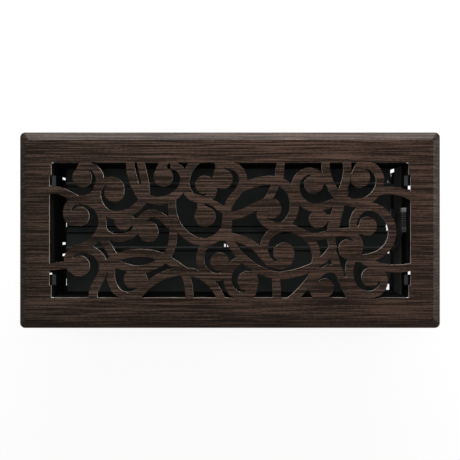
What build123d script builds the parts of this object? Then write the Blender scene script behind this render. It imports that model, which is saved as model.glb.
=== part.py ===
from build123d import *
import math
import os

# Floor register: a stamped scroll faceplate over a sheet-metal box with two linked damper blades.
# Millimetres, +Z up, X along the register.  The origin is under the plate's centre, at the box's foot.

# Overall sizes
register_height = 57.0
plate_length = 294.1
plate_width = 137.0
plate_thickness = 2.0
plate_corner_radius = 3.5
face_corner_radius = 1.2
bevel_width = 5.7
bevel_height = 3.5
rim_lip_height = 1.0

# Grille opening
opening_length = 251.7
opening_width = 94.1
corner_step = 1.25
corner_step_length = 8.65

# Damper box
wall_thickness = 0.8
bend_radius = 0.6
end_inset = 2.65
side_inset = 0.95
flange_gap = 0.5
corner_lap = 12.0
corner_lap_margin = 3.0
corner_clip_width = 3.2
corner_clip_height = 16.6
tab_length = 7.0
tab_offset = 34.5
tab_reach = 2.6
tab_sink = 0.8
tab_relief_gap = 0.3
tab_relief_reach = 3.0
tab_relief_right = 2.5
tab_relief_left = 1.2
slit_width = 1.8
slit_height = 12.7
slit_spread = 4.2
slit_drop = 1.3
stop_length = 6.2
stop_height = 5.0
stop_setback = 4.0
stop_gap = 0.3

# Damper blades
pivot_height = 16.0
damper_swing = 80.0
blade_thickness = 0.6
blade_edge_gap = 0.25
blade_left_gap = 0.4
link_bay = 2.7
blade_short_side = 11.8
front_short_side = 13.85
lap_width = 3.0
lap_gap = 0.15
lap_overlap = 1.2
blade_clip_length = 5.4
blade_clip_depth = 1.0
blade_right_clip_depth = 3.1
crease_width = 1.0
crease_depth = 1.4
crease_gap = 0.1
axle_radius = 1.0
axle_clearance = 0.06
axle_stub = 0.5
bead_clearance = 0.05
bead_relief_depth = 2.1
bead_relief_width = 1.7
slot_length = 2.2
slot_width = 1.1
slot_gap = 1.1
slot_centre = -2.7

# Crank ears, pins and the control link
crank_radius = 10.3
ear_root_gap = 0.2
ear_tip_radius = 3.0
pin_radius = 1.25
pin_clearance = 0.06
pin_head_radius = 2.2
pin_head_height = 0.7
pin_collar_radius = 2.0
pin_collar_length = 0.35
link_thickness = 1.0
link_play = 0.05
link_bar_width = 5.5

# Lever and thumb grip
lever_leg_width = 4.0
lever_rear_reach = 15.6
lever_stem_width = 12.0
lever_knee_reach = 15.0
lever_knee_low = 22.0
lever_knee_high = 31.0
grip_length = 16.9
grip_thickness = 3.0
grip_height = 6.0
grip_plate_depth = 2.5
grip_end_block = 3.0
grip_rib_pitch = 1.54
grip_groove_depth = 0.9
grip_clearance = 0.02
grip_sink = 1.0

# Scroll ornament, drawn on a grid of its own: x to the right, y down, centred on the opening
art_centre = (230.0, 230.0)
art_length = 361.87
art_width = 135.3
art_root = 4.3
vine_width = 5.6
vine_facet = 3.7
bulb_facets = 18
smallest_hole = 3.0

# Where the vines that grow from the rim start, a root's length outside the opening
art_left = art_centre[0] - art_length / 2 - art_root
art_right = art_centre[0] + art_length / 2 + art_root
art_top = art_centre[1] - art_width / 2 - art_root
art_bottom = art_centre[1] + art_width / 2 + art_root

# Each vine is a centreline drawn through a few points; the number is its width as a share of vine_width
vines = [
    (0.95, [(art_left, 191.3), (62, 191.5), (72, 196.5), (90, 201)]),
    (1.0, [(76, 222), (68, 218), (67, 210), (72, 202.5), (80, 199.5), (90, 202), (100, 212), (102, 224),
           (97, 236), (88, 244.5), (78, 249)]),
    (1.05, [(76, 270), (68, 264), (70, 254), (80, 248.2), (92, 250.5), (101, 259), (103, 269),
            (98, 281), (94, art_bottom)]),
    (0.9, [(art_left, 268), (57, 266), (68, 265)]),
    (1.0, [(84, 166), (92, 167), (98.5, 174), (99, 185), (93.5, 194.5), (84, 199)]),
    (1.0, [(99, 184), (96.5, 193), (99, 204), (108, 213.5), (118, 215), (131, 211), (142, 201),
           (147, 195)]),
    (1.0, [(99, 185), (106, 181.5), (114, 181), (119.5, 186), (119, 193)]),
    (1.2, [(131, art_top), (131.5, 172), (135, 184), (147, 202)]),
    (1.05, [(139, art_top), (142.3, 172), (144.5, 183), (144.8, 196)]),
    (1.0, [(170, 165), (179, 168), (184, 177), (181.5, 188), (173, 196.5), (160, 200.5), (144, 196)]),
    (1.0, [(200, art_top), (188, 171), (185.5, 184), (190, 195), (199, 199), (209, 197), (213, 189),
           (213, 180)]),
    (1.0, [(215, 166), (223, 164.5), (236, 167), (243, 177), (241, 187.5), (232, 199), (227, 211),
           (225, 227), (214, 239.5), (202, 242), (188, 236.5), (176, 222.5), (172, 208), (172, 199)]),
    (0.9, [(200, 200), (210, 202), (219, 207), (228, 212)]),
    (1.1, [(241, 188), (250, 184), (262, 180.8), (278, 181), (289, 188), (294.5, 202), (291, 218),
           (281, 226.5), (268, 223.5), (261, 215), (262, 209)]),
    (1.05, [(281, art_top), (280, 171), (278.5, 181)]),
    (1.0, [(275.5, 185), (272, 192), (267, 200)]),
    (1.0, [(226, 216), (240, 214), (254, 207.5), (267, 201)]),
    (1.0, [(327, 183), (319, 175.5), (310, 171.3), (298, 178), (295.5, 187), (300, 199.5), (313, 207.5),
           (327, 205), (346, 200)]),
    (1.0, [(326, art_top), (327, 174), (332, 187), (339, 197)]),
    (1.0, [(345.5, art_top), (347.5, 172), (343, 190), (337, 209), (332.5, 224), (331, 234)]),
    (1.0, [(345, 190), (341, 204), (335.3, 227), (334, 236)]),
    (1.0, [(362, 165.5), (373, 166.8), (380, 177), (378, 190), (367, 200.5), (354, 202.5), (344, 200)]),
    (0.95, [(376, 193), (389, 190), (402, 192), (art_right, 198)]),
    (1.0, [(354.5, 229), (355, 217.5), (363, 208), (374, 207), (387, 216), (392.5, 231), (387, 247.5),
           (372, 257), (353, 257)]),
    (1.0, [(283, 228), (295, 229.5), (311, 236.5), (330, 234), (345, 232), (364, 230)]),
    (1.0, [(342, 232), (350, 233.5), (357.5, 239.5), (359, 250), (352, 255)]),
    (1.0, [(353, 258), (349.5, 274), (355, 289), (368, 295), (380, 290.5), (384, 281), (381, 273),
           (375, 268)]),
    (0.95, [(362, 259), (380, 266.5), (395, 268.5), (art_right, 266)]),
    (1.0, [(332, 233), (333, 250), (339, 271), (347, 289), (353, art_bottom)]),
    (1.0, [(302, 232.5), (311, 240.5), (316.5, 255), (315, 265)]),
    (1.0, [(334, 246), (316, 265), (296, 273), (281, 275), (266, 272.5), (250, 264), (238, 253),
           (229, 239)]),
    (1.0, [(216, 237.5), (226, 236.5), (241, 239.2), (256, 247.5), (267, 260), (272, 265)]),
    (1.0, [(284, 228), (272, 232.5), (264.5, 244), (266, 257.5), (275, 265), (286, 263.5), (290.5, 255)]),
    (1.0, [(213, 239), (203.5, 247), (200, 261), (206, 272.5), (216, 277), (224, 274), (227, 267)]),
    (1.0, [(132, art_bottom), (150, 283.5), (167, 274), (182, 271.5), (200, 275), (214, 286.5),
           (222, art_bottom)]),
    (1.0, [(200, 274), (212, 277), (222, 276), (231, 268), (241, 259)]),
    (1.0, [(238, 261), (229.5, 270), (227.5, 280), (233, 292.5), (241, 296), (249, 294)]),
    (1.0, [(185, 274), (188, 284), (188.8, art_bottom)]),
    (1.0, [(275.5, 274), (276.5, 285), (277, art_bottom)]),
    (1.0, [(317, 266), (309, 281.5), (297, 295), (289, art_bottom)]),
    (1.0, [(321, art_bottom), (314.5, 292), (313, 284), (317, 276), (324, 270), (331, 268.5),
           (338, 271)]),
    (1.0, [(113, 261), (110.5, 274), (116, 290.5), (126, 296), (137, 293), (142, 285)]),
    (1.0, [(106, 265), (119, 256.5), (139, 252.8), (158, 255.5), (173, 263), (186, 272)]),
    (1.0, [(104, 265), (112, 263), (124, 266.7), (139, 269.5), (154, 265.7), (167, 255.5), (172.5, 241),
           (173, 228), (172, 208)]),
    (1.0, [(138.5, 231), (140, 220.5), (150, 213.5), (161, 216.5), (170, 226)]),
    (1.0, [(102, 224), (106, 234), (118, 237.5), (130, 234.5), (137, 227)]),
    (1.0, [(101, 236), (109, 248.5), (116, 261)]),
    (1.0, [(229, 212), (228, 222), (228, 236)]),
    (1.0, [(350, 292), (358, 299), (366, art_bottom)]),
    (1.0, [(140.5, 272), (144, 281.5), (146, 288)]),
]

# Short necks that tie a bulb to the rim or to the vine beside it, drawn the same way
necks = [
    (1.0, [(78, 175), (81, 167.5), (86, art_top)]),
    (1.0, [(158, 175), (161, 167), (167, art_top)]),
    (1.0, [(217, 174), (219, 168), (223, art_top)]),
    (1.0, [(354, 176), (357.5, 170), (363, art_top)]),
    (1.0, [(201.5, 198), (201, 206), (203, 214)]),
    (1.1, [(126, 222), (133, 222.5), (140, 222)]),
    (0.9, [(322, 218), (328, 218.3), (333, 218.5)]),
    (1.0, [(254, 284), (252.5, 291), (247, art_bottom)]),
    (0.9, [(250, 279), (253, 274.5), (256, 270)]),
    (1.4, [(324, 292), (323.5, 297), (323, art_bottom)]),
]

# Each bulb is a round boss at the heart of a scroll: centre x, y and radius on the same grid
bulbs = [
    (82, 177, 9.8), (114, 192, 10), (79, 216, 10), (124, 220.5, 9.8), (163, 176.5, 9.8),
    (204.5, 184.5, 9.4), (222.5, 178.5, 10.2), (205, 216, 10.8), (148, 231.5, 10.3), (314, 184, 9.5),
    (271.5, 208.5, 10),
    (318.5, 219, 9.3), (360.5, 177.5, 9.8), (367.5, 226, 9.5), (79, 266, 10.5), (133, 279, 9.5),
    (219.5, 262, 9.5), (248, 281.5, 10.5), (284, 253, 10.5), (348.3, 249, 9.8), (371.5, 277, 9.7),
    (324.5, 288, 9.5),
]

# Worked-out places
face_underside = register_height - plate_thickness
bevel_foot = register_height - bevel_height
rim_bottom = bevel_foot - rim_lip_height
bevel_run = bevel_width / bevel_height
bevel_sheet = plate_thickness / math.sin(math.atan2(bevel_height, bevel_width))
hollow_inset = bevel_sheet + (face_underside - bevel_foot) * bevel_run
opening_end = opening_length / 2
opening_side = opening_width / 2
end_inner = opening_end - end_inset
end_outer = end_inner + wall_thickness
side_inner = opening_side - side_inset
side_outer = side_inner + wall_thickness
lap_outer = side_outer + wall_thickness
end_flange = plate_length / 2 - hollow_inset - flange_gap
side_flange = plate_width / 2 - hollow_inset - flange_gap
art_pitch_x = opening_length / art_length
art_pitch_y = opening_width / art_width

rear_pivot = side_inner - blade_edge_gap - blade_short_side
rear_blade_tip = -lap_width / 2
front_blade_head = rear_blade_tip + lap_overlap
front_blade_tip = blade_edge_gap - side_inner
blade_left = -end_inner + blade_left_gap
blade_right = end_inner - link_bay
front_pivot = front_blade_head - front_short_side
blade_half = blade_thickness / 2
stop_top = pivot_height - blade_half - stop_gap

pin_swing = math.radians(damper_swing / 2)
pin_offset_y = crank_radius * math.sin(pin_swing)
pin_offset_z = -crank_radius * math.cos(pin_swing)
pin_height = pivot_height + pin_offset_z
link_inner = blade_right + pin_collar_length
link_outer = link_inner + link_thickness
grip_top = register_height - grip_sink
grip_bottom = grip_top - grip_height
lever_top = grip_bottom + grip_plate_depth


def block(x, y, z):
    # A box given by its low and high places along each axis.
    size = Box(x[1] - x[0], y[1] - y[0], z[1] - z[0])
    return Pos((x[0] + x[1]) / 2, (y[0] + y[1]) / 2, (z[0] + z[1]) / 2) * size


def rod_along_x(x, y, z, radius):
    # A cylinder that runs along X between two places.
    return Pos((x[0] + x[1]) / 2, y, z) * Rot(0, 90, 0) * Cylinder(radius, x[1] - x[0])


def rounded(face, corner, radius):
    # A face with the corner nearest to a place rounded off.
    return face.fillet_2d(radius, face.vertices().sort_by_distance(corner)[:1])


def plate_in_yz(outline, x):
    # A flat sheet whose outline is drawn in Y and Z and which is thick along X.
    wire = Polyline(*[(x[0], y, z) for y, z in outline], close=True)
    return extrude(make_face(wire), x[1] - x[0], dir=(1, 0, 0))


def folded_wall(place, inner, outer, flange_end):
    # The section of a box wall with its flange folded outwards at the top; place sets a corner in space.
    flange_low = face_underside - wall_thickness
    corners = [(inner, 0), (outer, 0), (outer, flange_low), (flange_end, flange_low),
               (flange_end, face_underside), (inner, face_underside)]
    section = make_face(Polyline(*[place(*corner) for corner in corners], close=True)).face()
    section = rounded(section, place(outer, flange_low), bend_radius)
    return rounded(section, place(inner, face_underside), bend_radius + wall_thickness)


def art(point):
    # A point of the ornament's drawing, in millimetres about the opening's centre.
    return Vector((point[0] - art_centre[0]) * art_pitch_x, (art_centre[1] - point[1]) * art_pitch_y)


def vine_face(share, points):
    # A ribbon of even width along a smooth centreline, its edges cut in short straight facets.
    centreline = Spline(*[art(point) for point in points])
    half_width = share * vine_width / 2
    facets = max(2, round(centreline.length / vine_facet))
    left = []
    right = []
    for index in range(facets + 1):
        place = centreline.position_at(index / facets)
        along = centreline.tangent_at(index / facets)
        across = Vector(-along.Y, along.X) * half_width
        left.append(place + across)
        right.insert(0, place - across)
    return make_face(Polyline(*left, *right, close=True)).face()


def bulb_face(x, y, radius):
    return (Pos(art((x, y))) * RegularPolygon(radius * art_pitch_x, bulb_facets)).face()


def opening_face():
    # The plate's opening: a rectangle stepped in at its corners.
    opening = Rectangle(opening_length, opening_width)
    for side in (-1, 1):
        for end in (-1, 1):
            step_x = side * (opening_end - corner_step / 2)
            step_y = end * (opening_side - corner_step_length / 2)
            opening -= Pos(step_x, step_y) * Rectangle(corner_step, corner_step_length)
    return opening


def grille_holes():
    # The opening less the ornament; slivers where two vines nearly touch are left closed.
    ribbons = [vine_face(share, points) for share, points in vines + necks]
    ribbons += [bulb_face(*bulb) for bulb in bulbs]
    ornament = ribbons[0].fuse(*ribbons[1:]).clean()
    holes = opening_face() - ornament
    return [hole for hole in holes.faces() if hole.area > smallest_hole]


def rim_section(inset, radius, height):
    size = RectangleRounded(plate_length - 2 * inset, plate_width - 2 * inset, radius)
    return Pos(0, 0, height) * size


def make_faceplate():
    # A lipped and bevelled sheet, hollow below, pierced by the grille's holes.
    foot_inset = bevel_sheet - rim_lip_height * bevel_run
    skin = extrude(rim_section(0, plate_corner_radius, rim_bottom), rim_lip_height)
    skin += loft([rim_section(0, plate_corner_radius, bevel_foot),
                  rim_section(bevel_width, face_corner_radius, register_height)], ruled=True)
    hollow = loft([rim_section(foot_inset, plate_corner_radius / 2, rim_bottom),
                   rim_section(hollow_inset, face_corner_radius / 2, face_underside)], ruled=True)
    plate = skin - hollow
    holes = [extrude(Pos(0, 0, face_underside) * hole, plate_thickness) for hole in grille_holes()]
    return plate - holes


def make_side_wall(end):
    # A long wall with its top flange folded outwards under the plate; end is +1 at the rear.
    section = folded_wall(lambda y, z: Vector(-end_inner, y, z), side_inner, side_outer, side_flange)
    wall = extrude(section, 2 * end_inner, dir=(1, 0, 0))
    if end < 0:
        wall = mirror(wall, about=Plane.XZ)
    return wall


def make_end_wall(side):
    # A short wall: top flange out under the plate and laps round the side walls; side is +1 at the lever.
    sheet = (end_inner, end_outer)
    section = folded_wall(lambda x, z: Vector(x, -side_outer, z), end_inner, end_outer, end_flange)
    wall = extrude(section, 2 * side_outer, dir=(0, 1, 0))
    relief = tab_relief_right if side > 0 else tab_relief_left
    for end in (-1, 1):
        wall += make_corner_lap(end)
        wall = add_tab(wall, sheet, end, relief)
    for pivot in (rear_pivot, front_pivot):
        wall -= rod_along_x(sheet, pivot, pivot_height, axle_radius + axle_clearance)
    if side > 0:
        return wall - block(sheet, (side_outer - corner_clip_width, side_outer), (0, corner_clip_height))
    return mirror(add_blade_seats(wall, sheet), about=Plane.YZ)


def make_corner_lap(end):
    # The strip at a wall's edge that is folded round the outside of the side wall.
    x = (end_inner - corner_lap, end_outer)
    y = sorted((end * side_outer, end * lap_outer))
    low = corner_clip_height + corner_lap_margin
    high = face_underside - wall_thickness - corner_lap_margin
    outline = Polyline((x[0], y[0], low), (x[1], y[0], low), (x[1], y[1], low), (x[0], y[1], low), close=True)
    strip = rounded(make_face(outline).face(), Vector(end_outer, end * lap_outer, low), bend_radius)
    return extrude(strip, high - low, dir=(0, 0, 1))


def add_tab(wall, sheet, end, relief):
    # A tab that stands up at the end of the opening and hooks inwards, with a relief in the flange beside it.
    fold_low = face_underside - wall_thickness - bend_radius
    tab_near = tab_offset - tab_length / 2
    relief_x = (end_outer + tab_relief_gap, end_outer + tab_relief_reach)
    relief_y = sorted((end * tab_near, end * (tab_near - relief)))
    wall -= block(relief_x, relief_y, (fold_low, face_underside))
    tab_y = sorted((end * tab_near, end * (tab_near + tab_length)))
    hook_top = register_height - tab_sink
    wall += block(sheet, tab_y, (fold_low, hook_top))
    return wall + block((end_outer - tab_reach, end_outer), tab_y, (hook_top - wall_thickness, hook_top))


def add_blade_seats(wall, sheet):
    # At the end away from the lever: slits beside each axle hole, and a stop folded in under each blade's tip.
    for pivot in (rear_pivot, front_pivot):
        for spread in (-slit_spread, slit_spread):
            slit_y = (pivot + spread - slit_width / 2, pivot + spread + slit_width / 2)
            slit_low = pivot_height - slit_drop
            wall -= block(sheet, slit_y, (slit_low, slit_low + slit_height))
    for tip in (rear_blade_tip, front_blade_tip):
        hinge = tip + stop_setback + stop_length
        stop_z = (stop_top - stop_height, stop_top)
        wall -= block(sheet, (hinge - stop_length, hinge), stop_z)
        wall += block((end_outer - stop_length, end_outer), (hinge - wall_thickness, hinge), stop_z)
    return wall


def add_crease(blade, span, y, low, high):
    # A narrow stiffening channel pressed down along the blade; y is the channel's rear side.
    floor = low - crease_depth
    blade += block(span, (y - crease_width - blade_thickness, y + blade_thickness), (floor, high))
    return blade - block(span, (y - crease_width, y), (floor + blade_thickness, high))


def make_blade(pivot, head, tip, lapped):
    # A sheet blade: head is its +Y edge and tip its -Y edge; a lapped blade has a raised lip at its tip.
    span = (blade_left, blade_right)
    low = pivot_height - blade_half
    high = pivot_height + blade_half
    channel = axle_radius + bead_clearance
    flat_tip = tip + lap_width if lapped else tip
    blade = block(span, (flat_tip, head), (low, high))
    bead = rod_along_x(span, pivot, pivot_height, channel + blade_thickness)
    bead &= block(span, (tip, head), (low, pivot_height + 2 * channel + blade_thickness))
    blade += bead
    lip_end = rear_blade_tip + lap_width + blade_thickness
    crease_y = lip_end + crease_gap + crease_width if lapped else rear_blade_tip - crease_gap
    blade = add_crease(blade, span, crease_y, low, high)
    if lapped:
        lip_low = high + lap_gap
        lip_high = lip_low + blade_thickness
        blade += block(span, (tip, flat_tip + blade_thickness), (lip_low, lip_high))
        blade += block(span, (flat_tip, flat_tip + blade_thickness), (low, lip_high))
    blade -= rod_along_x(span, pivot, pivot_height, channel)
    blade -= block(span, (pivot - channel, pivot + channel), (low - channel, pivot_height))
    everywhere = (low - crease_depth, high + 2 * channel + blade_thickness)
    clip_y = (tip, flat_tip + blade_clip_length)
    blade -= block((blade_left, blade_left + blade_clip_depth), clip_y, everywhere)
    blade -= block((blade_right - blade_right_clip_depth, blade_right), clip_y, everywhere)
    bead_edge = channel + blade_thickness
    for side in (-1, 1):
        relief_y = sorted((pivot + side * bead_edge, pivot + side * (bead_edge + bead_relief_width)))
        blade -= block((blade_right - bead_relief_depth, blade_right), relief_y, everywhere)
    slot_y = pivot + bead_edge + slot_length / 2
    for shift in (-1, 1):
        slot_x = slot_centre + shift * (slot_gap + slot_width) / 2
        slot_span = (slot_x - slot_width / 2, slot_x + slot_width / 2)
        blade -= block(slot_span, (slot_y - slot_length / 2, slot_y + slot_length / 2), everywhere)
    return blade + make_ear(pivot, head)


def make_ear(pivot, head):
    # The crank ear, folded down from the blade's right end and drilled for the crank pin.
    sheet = (blade_right - blade_thickness, blade_right)
    pin_y = pivot + pin_offset_y
    root = pivot + axle_radius + bead_clearance + blade_thickness + bead_relief_width + ear_root_gap
    top = pivot_height + blade_half
    ear_far = pin_y + ear_tip_radius
    outline = [(root, top), (min(head, ear_far), top), (ear_far, pin_height),
               (pin_y - ear_tip_radius, pin_height)]
    ear = plate_in_yz(outline, sheet)
    ear += rod_along_x(sheet, pin_y, pin_height, ear_tip_radius)
    return ear - rod_along_x(sheet, pin_y, pin_height, pin_radius + bead_clearance)


def make_axle(pivot):
    reach = end_outer + axle_stub
    return rod_along_x((-reach, reach), pivot, pivot_height, axle_radius)


def make_crank_pin(pivot):
    # A shouldered rivet: shank through the ear, collar, journal through the link, and closing head.
    y = pivot + pin_offset_y
    journal_end = link_outer + link_play
    pin = rod_along_x((blade_right - blade_thickness, journal_end), y, pin_height, pin_radius)
    pin += rod_along_x((blade_right, link_inner - link_play), y, pin_height, pin_collar_radius)
    pin += rod_along_x((journal_end, journal_end + pin_head_height), y, pin_height, pin_head_radius)
    return pin


def make_control_link():
    # One stamped plate: a bar between the two crank pins, and a windowed lever up to the grip.
    sheet = (link_inner, link_outer)
    rear_pin = rear_pivot + pin_offset_y
    front_pin = front_pivot + pin_offset_y
    bar_half = link_bar_width / 2
    link = block(sheet, (front_pin, rear_pin), (pin_height - bar_half, pin_height + bar_half))
    for pin_y in (rear_pin, front_pin):
        link += rod_along_x(sheet, pin_y, pin_height, bar_half)
    rear = lever_rear_reach
    grip_front = rear - grip_length
    stem_front = rear - lever_stem_width
    knee = -lever_knee_reach
    lever = [(rear, pin_height), (rear, lever_top), (grip_front, lever_top), (knee, lever_knee_high),
             (knee, lever_knee_low), (stem_front, lever_knee_low), (stem_front, pin_height)]
    link += plate_in_yz(lever, sheet)
    leg = lever_leg_width
    window_low = lever_knee_low + leg
    window_high = grip_bottom - leg / 2
    window = [(rear - leg, window_low), (rear - leg, window_high), (grip_front + leg / 2, window_high),
              (knee + leg, lever_knee_high), (knee + leg, window_low)]
    link -= plate_in_yz(window, sheet)
    for pin_y in (rear_pin, front_pin):
        link -= rod_along_x(sheet, pin_y, pin_height, pin_radius + pin_clearance)
    return link


def make_thumb_grip():
    # A ribbed block that straddles the lever's top edge, with a plain block at each end.
    middle = (link_inner + link_outer) / 2
    x = (middle - grip_thickness / 2, middle + grip_thickness / 2)
    y = (lever_rear_reach - grip_length, lever_rear_reach)
    grip = block(x, y, (grip_bottom, grip_top))
    ribbed = grip_length - 2 * grip_end_block
    count = int(ribbed / grip_rib_pitch)
    pitch = ribbed / count
    for index in range(count):
        groove_y = y[0] + grip_end_block + index * pitch + pitch / 4
        grip -= block(x, (groove_y, groove_y + pitch / 2), (grip_top - grip_groove_depth, grip_top))
    slot = (link_inner - grip_clearance, link_outer + grip_clearance)
    return grip - block(slot, y, (grip_bottom, lever_top))


nodes = {
    "faceplate": make_faceplate(),
    "rear_side_wall": make_side_wall(1),
    "front_side_wall": make_side_wall(-1),
    "left_end_wall": make_end_wall(-1),
    "right_end_wall": make_end_wall(1),
    "rear_blade": make_blade(rear_pivot, rear_pivot + blade_short_side, rear_blade_tip, True),
    "front_blade": make_blade(front_pivot, front_blade_head, front_blade_tip, False),
    "rear_axle_rod": make_axle(rear_pivot),
    "front_axle_rod": make_axle(front_pivot),
    "rear_crank_pin": make_crank_pin(rear_pivot),
    "front_crank_pin": make_crank_pin(front_pivot),
    "control_link": make_control_link(),
    "thumb_grip": make_thumb_grip(),
}

os.makedirs("parts", exist_ok=True)
for name, shape in nodes.items():
    export_step(shape, f"parts/{name}.step")
    print(name, round(shape.volume, 1))
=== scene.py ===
import bpy
import numpy as np
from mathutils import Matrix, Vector
from mathutils.geometry import delaunay_2d_cdt


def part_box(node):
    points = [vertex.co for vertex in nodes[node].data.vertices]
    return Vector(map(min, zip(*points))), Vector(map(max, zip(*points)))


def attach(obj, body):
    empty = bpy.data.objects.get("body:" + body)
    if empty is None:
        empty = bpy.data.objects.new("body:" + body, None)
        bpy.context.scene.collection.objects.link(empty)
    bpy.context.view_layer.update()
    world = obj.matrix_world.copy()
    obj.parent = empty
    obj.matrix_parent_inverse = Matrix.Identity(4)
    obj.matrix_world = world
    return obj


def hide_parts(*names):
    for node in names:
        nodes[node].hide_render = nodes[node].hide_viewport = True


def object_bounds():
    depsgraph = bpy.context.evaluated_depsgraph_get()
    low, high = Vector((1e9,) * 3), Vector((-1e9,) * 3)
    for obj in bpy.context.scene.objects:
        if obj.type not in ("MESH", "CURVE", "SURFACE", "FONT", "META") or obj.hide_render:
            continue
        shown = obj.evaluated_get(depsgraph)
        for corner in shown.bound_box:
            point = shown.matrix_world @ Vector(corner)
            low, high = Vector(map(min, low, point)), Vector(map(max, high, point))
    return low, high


# Floor register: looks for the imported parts, with a smooth scroll faceplate in place of the faceted one
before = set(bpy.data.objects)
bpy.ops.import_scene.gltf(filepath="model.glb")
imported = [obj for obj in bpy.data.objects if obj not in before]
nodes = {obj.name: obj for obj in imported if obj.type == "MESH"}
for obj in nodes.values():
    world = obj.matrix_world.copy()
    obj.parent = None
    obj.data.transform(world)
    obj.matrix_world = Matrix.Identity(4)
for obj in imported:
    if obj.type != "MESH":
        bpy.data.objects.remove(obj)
cadLow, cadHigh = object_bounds()
scene = bpy.context.scene
samePlace = 1e-6  # metres; points nearer than this count as one
tiny = 1e-12  # keeps a divisor off zero
noiseRange = (0.3, 0.7)  # where most of a noise's values lie
print("stage: frame loaded with", len(nodes), "nodes")


# Node helpers, shared by all the finishes
def newMaterial(name):
    # a material with an empty node tree
    material = bpy.data.materials.new(name)
    material.use_nodes = True
    material.node_tree.nodes.clear()
    return material, material.node_tree


def addNode(tree, kind, **settings):
    # a new node with its settings
    node = tree.nodes.new(kind)
    for key, value in settings.items():
        setattr(node, key, value)
    return node


def feed(tree, target, value):
    # links a socket to the target, or sets a fixed value on it
    if isinstance(value, bpy.types.NodeSocket):
        tree.links.new(value, target)
    else:
        target.default_value = value


def setSockets(node, **values):
    # fixed values by socket name, with underscores for spaces
    for name, value in values.items():
        node.inputs[name.replace("_", " ")].default_value = value


def objectPlace(tree):
    # the place on the piece, in metres, that every pattern reads
    return addNode(tree, "ShaderNodeTexCoord").outputs["Object"]


def axesOf(tree, coords):
    # the three parts of a place, by axis name
    split = addNode(tree, "ShaderNodeSeparateXYZ")
    tree.links.new(coords, split.inputs["Vector"])
    return split.outputs


def combined(tree, operation, first, second):
    # one sum, product or the like of two sockets
    node = addNode(tree, "ShaderNodeMath", operation=operation)
    tree.links.new(first, node.inputs[0])
    tree.links.new(second, node.inputs[1])
    return node.outputs[0]


def stretchedNoise(tree, coords, scale, noise, shift=0.0):
    # Noise whose cells are as long on each axis as one over that axis's scale, in metres, moved by
    # shift cells.  The pair noise is its detail and its roughness.
    mapping = addNode(tree, "ShaderNodeMapping")
    setSockets(mapping, Location=(shift, shift, shift), Scale=scale)
    tree.links.new(coords, mapping.inputs["Vector"])
    texture = addNode(tree, "ShaderNodeTexNoise")
    setSockets(texture, Scale=1.0, Detail=noise[0], Roughness=noise[1])
    tree.links.new(mapping.outputs["Vector"], texture.inputs["Vector"])
    return texture.outputs["Fac"]


def mixed(tree, factor, first, second, blend="MIX"):
    # first blended towards second by the factor
    node = addNode(tree, "ShaderNodeMix", data_type="RGBA", blend_type=blend)
    for name, value in (("Factor", factor), ("A", first), ("B", second)):
        feed(tree, [s for s in node.inputs if s.name == name and s.enabled][0], value)
    return [s for s in node.outputs if s.enabled][0]


def ramp(tree, factor, places, colours):
    # colours at their places along the factor, straight in between
    node = addNode(tree, "ShaderNodeValToRGB")
    elements = node.color_ramp.elements
    for place in places[1:-1]:
        elements.new(place)
    for element, place, colour in zip(elements, places, colours):
        element.position = place
        element.color = (*colour, 1.0)
    tree.links.new(factor, node.inputs["Fac"])
    return node.outputs["Color"]


def remapped(tree, value, low, high, newLow, newHigh):
    # low to high becomes newLow to newHigh, held at both ends
    node = addNode(tree, "ShaderNodeMapRange")
    setSockets(node, From_Min=low, From_Max=high, To_Min=newLow, To_Max=newHigh)
    tree.links.new(value, node.inputs["Value"])
    return node.outputs["Result"]


def bumpFrom(tree, height, strength, distance):
    # a normal that leans with the slope of the height
    node = addNode(tree, "ShaderNodeBump")
    setSockets(node, Strength=strength, Distance=distance)
    tree.links.new(height, node.inputs["Height"])
    return node.outputs["Normal"]


def surfaceOf(tree, colour, roughness, normal, **fixed):
    # one principled surface fed by three patterns and fixed values
    shader = addNode(tree, "ShaderNodeBsdfPrincipled")
    output = addNode(tree, "ShaderNodeOutputMaterial")
    for name, value in (("Base Color", colour), ("Roughness", roughness), ("Normal", normal)):
        tree.links.new(value, shader.inputs[name])
    setSockets(shader, **fixed)
    tree.links.new(shader.outputs["BSDF"], output.inputs["Surface"])


# Brushed dark bronze: long streaks along X in three widths with a fine speckle, fainter on the rim.
# The left end is darker and a little less red.
bronze = {
    "dark": (0.0100, 0.0062, 0.0043),
    "brown": (0.0282, 0.0166, 0.0117),
    "light": (0.0760, 0.0455, 0.0330),
    "toneStops": (0.44, 0.50, 0.56),
    "streaks": ((9.0, 860.0, 300.0), (3.0, 0.55)),  # scale, then noise
    "bands": ((3.0, 150.0, 60.0), (2.0, 0.5)),
    "fineStreaks": ((26.0, 1340.0, 300.0), (2.0, 0.5)),
    "speckle": ((420.0, 1500.0, 300.0), (2.0, 0.6)),
    "clouds": ((9.0, 30.0, 9.0), (2.0, 0.5)),
    "bandShare": 0.28,
    "fineShare": 0.56,
    "speckleShare": 0.17,
    "shift": 15.7,
    "rimLevels": (0.0535, 0.0566),
    "rimCalm": 0.55,
    "cloudShade": (0.90, 1.10),
    "drift": (-0.15, 0.03),
    "driftStops": (0.0, 0.10, 1.0),
    "driftTints": ((0.80, 0.86, 0.86), (0.93, 1.00, 1.00), (1.00, 1.00, 1.00)),
    "grainRange": (0.35, 0.65),
    "roughness": (0.31, 0.20),
    "bump": (0.30, 0.00012),
    "specular": 0.056,
}


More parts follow.
